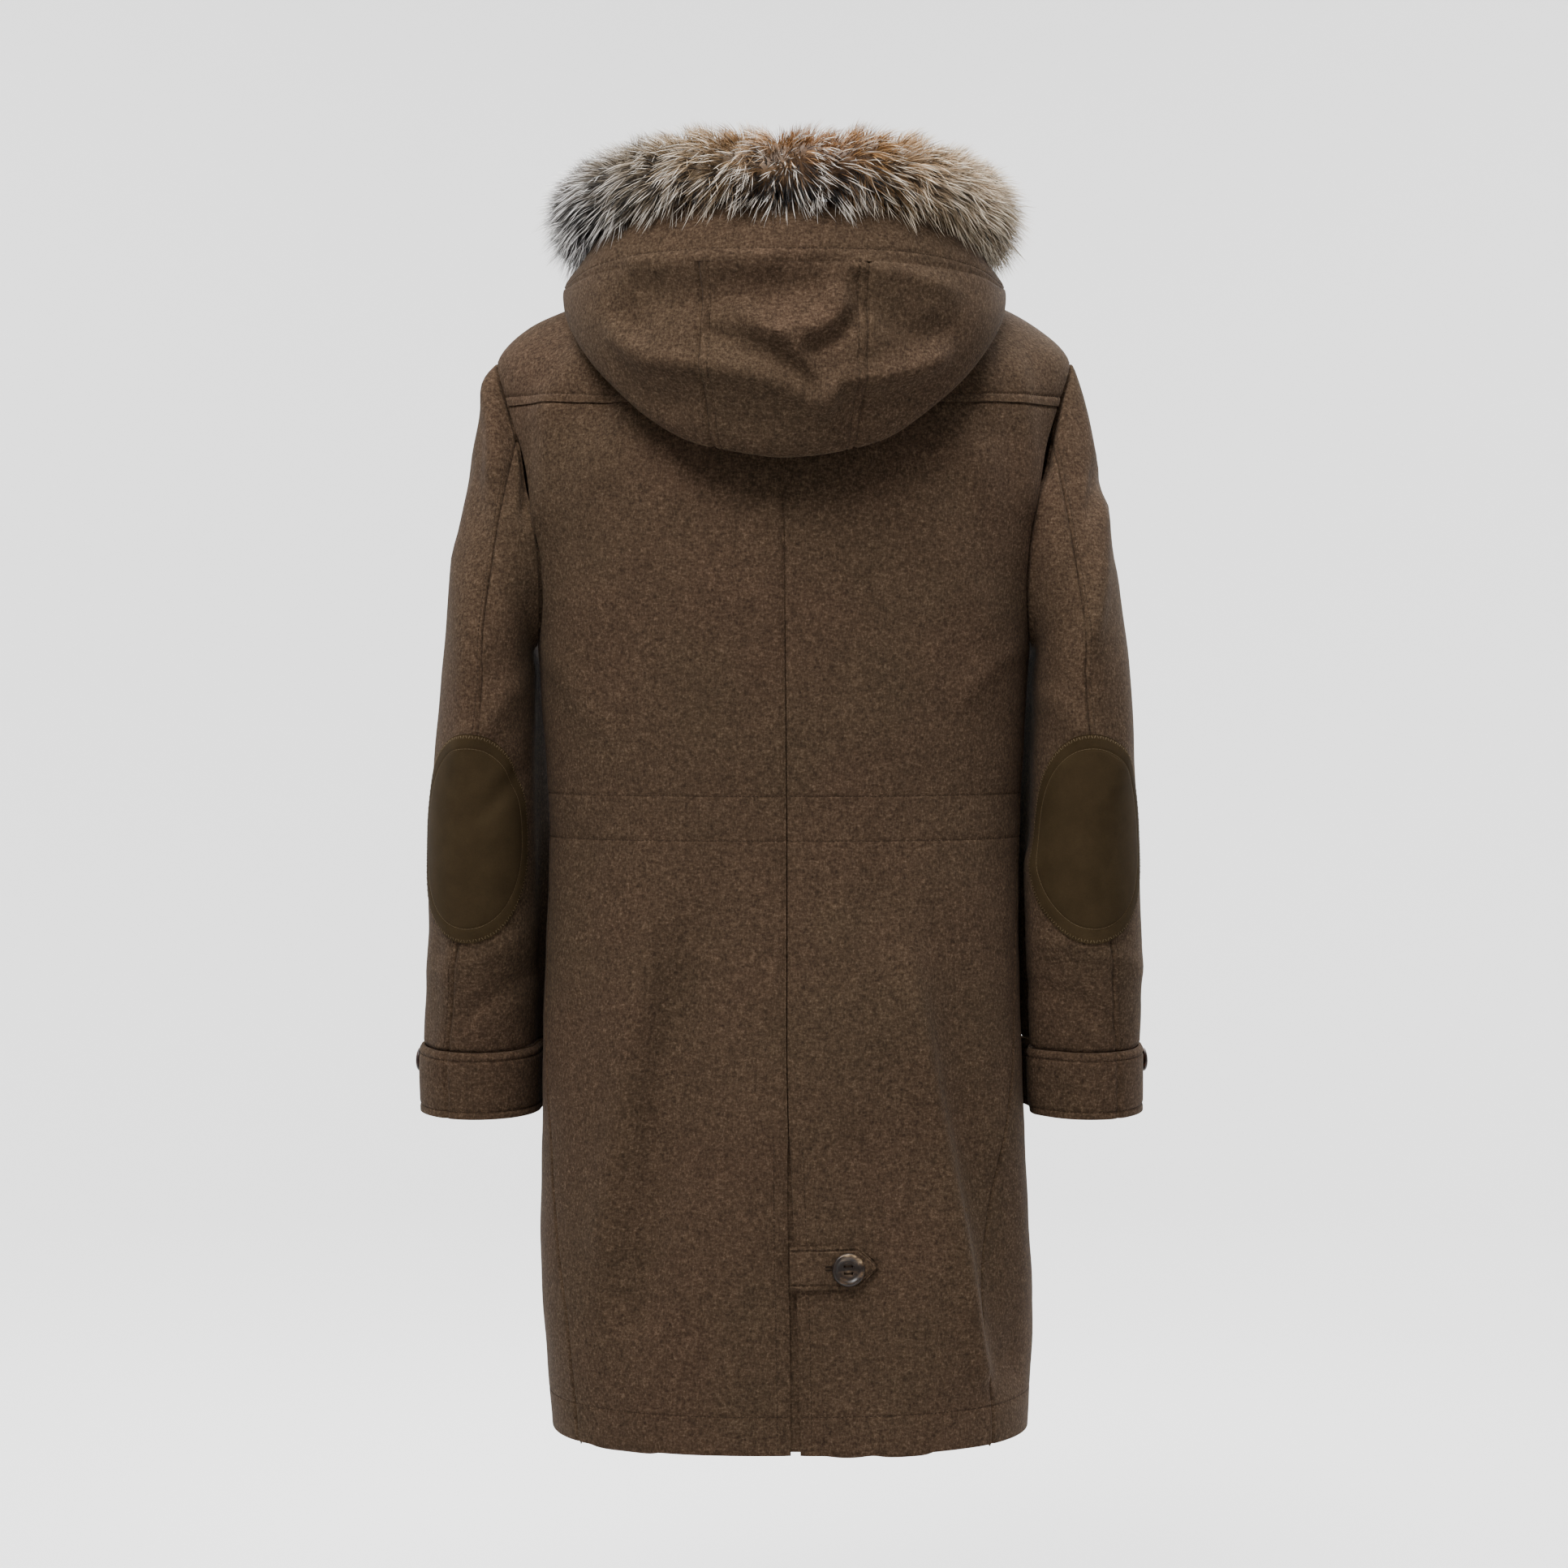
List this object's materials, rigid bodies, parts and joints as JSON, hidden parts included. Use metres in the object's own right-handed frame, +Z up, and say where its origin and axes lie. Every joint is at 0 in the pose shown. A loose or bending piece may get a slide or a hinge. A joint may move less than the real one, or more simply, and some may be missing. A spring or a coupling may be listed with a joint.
{
  "type": "parka",
  "caption": "Knee-length hooded wool parka with fur-edged hood worn down, elbow patches, buttoned cuffs and a tabbed back vent, filled out with no wearer.",
  "frame": {"origin": "middle of the wearer's neck at the height of the shoulder's neck points", "axes": "+Z up, the garment's front faces -Y, +X is the wearer's left"},
  "size_m": [0.6238, 0.344, 1.0763],
  "materials": {
    "wool": "brushed dark brown melange wool coating, matt",
    "suede": "smooth dark olive-brown suede, matt",
    "horn": "polished dark horn with tan streaks",
    "fur": "long fluffy fur, grey-brown to camel with pale tips"
  },
  "bodies": {
    "root": {"back_left": "wool", "back_right": "wool", "back_yoke": "wool", "front_left": "wool", "front_right": "wool", "sleeve_left_upper": "wool", "sleeve_left_under": "wool", "sleeve_right_upper": "wool", "sleeve_right_under": "wool", "cuff_left": "wool", "cuff_right": "wool", "cuff_button_left": "horn", "cuff_button_right": "horn", "elbow_patch_left": "suede", "elbow_patch_right": "suede", "hood_centre": "wool", "hood_left": "wool", "hood_right": "wool", "hood_band": "wool", "fur_ruff": "fur", "pocket_left": "wool", "pocket_right": "wool", "pocket_flap_left": "wool", "pocket_flap_right": "wool", "vent_tab": "wool", "vent_button": "horn", "front_button_1": "horn", "front_button_2": "horn", "front_button_3": "horn", "front_button_4": "horn"}
  },
  "joints": []
}
